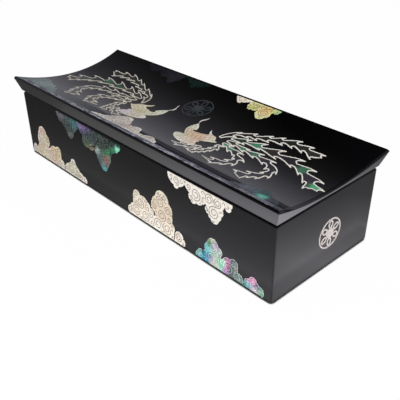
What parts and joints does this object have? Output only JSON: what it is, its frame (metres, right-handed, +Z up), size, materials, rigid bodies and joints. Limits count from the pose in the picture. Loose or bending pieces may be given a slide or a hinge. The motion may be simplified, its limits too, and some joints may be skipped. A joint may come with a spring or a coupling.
{
  "type": "brush box with lift-off lid",
  "caption": "Long black-lacquered brush box with a dished lift-off lid, inlaid with mother-of-pearl phoenixes, clouds and flowers.",
  "frame": {"origin": "middle of the underside, on the surface that the box stands on", "axes": "+X along the box to its right, -Y the decorated front, +Z up"},
  "size_m": [0.3092, 0.1142, 0.0742],
  "materials": {
    "gloss_lacquer": "mirror-gloss black lacquer on wood",
    "satin_lacquer": "satin black lacquer on wood",
    "felt": "short-pile wine-red felt",
    "pale_shell": "polished cream mother-of-pearl with engraved lines",
    "dark_shell": "polished green, blue and pink abalone shell",
    "plume_shell": "cream mother-of-pearl outlines with green abalone fills"
  },
  "bodies": {
    "box": {"back_board": "gloss_lacquer", "back_dark_cloud_1": "dark_shell", "back_dark_cloud_2": "dark_shell", "back_dark_cloud_3": "dark_shell", "back_dark_cloud_4": "dark_shell", "back_dark_cloud_5": "dark_shell", "back_pale_cloud_1": "pale_shell", "back_pale_cloud_2": "pale_shell", "back_pale_cloud_3": "pale_shell", "back_pale_cloud_4": "pale_shell", "back_pale_cloud_5": "pale_shell", "floor_board": "satin_lacquer", "floor_lining": "felt", "front_board": "gloss_lacquer", "front_dark_cloud_1": "dark_shell", "front_dark_cloud_2": "dark_shell", "front_dark_cloud_3": "dark_shell", "front_dark_cloud_4": "dark_shell", "front_dark_cloud_5": "dark_shell", "front_pale_cloud_1": "pale_shell", "front_pale_cloud_2": "pale_shell", "front_pale_cloud_3": "pale_shell", "front_pale_cloud_4": "pale_shell", "front_pale_cloud_5": "pale_shell", "left_end_board": "gloss_lacquer", "left_flower": "pale_shell", "right_end_board": "gloss_lacquer", "right_flower": "pale_shell"},
    "lid": {"left_phoenix_body": "pale_shell", "left_phoenix_plume_1": "plume_shell", "left_phoenix_plume_2": "plume_shell", "left_phoenix_plume_3": "plume_shell", "left_phoenix_plume_4": "plume_shell", "left_phoenix_plume_5": "plume_shell", "left_phoenix_plume_6": "plume_shell", "left_phoenix_wing": "pale_shell", "lid_back_dark_cloud_1": "dark_shell", "lid_back_dark_cloud_2": "dark_shell", "lid_back_pale_cloud_1": "pale_shell", "lid_board": "gloss_lacquer", "lid_flower": "dark_shell", "lid_front_dark_cloud_3": "dark_shell", "lid_front_dark_cloud_4": "dark_shell", "lid_front_pale_cloud_2": "pale_shell", "lid_inner_panel": "satin_lacquer", "right_phoenix_body": "pale_shell", "right_phoenix_plume_1": "plume_shell", "right_phoenix_plume_2": "plume_shell", "right_phoenix_plume_3": "plume_shell", "right_phoenix_plume_4": "plume_shell", "right_phoenix_plume_5": "plume_shell", "right_phoenix_plume_6": "plume_shell", "right_phoenix_wing": "pale_shell"}
  },
  "joints": [
    {"name": "lid_lift", "type": "slide", "parent": "box", "child": "lid", "axis": [0, 0, 1], "range_m": [0, 0.1]}
  ]
}
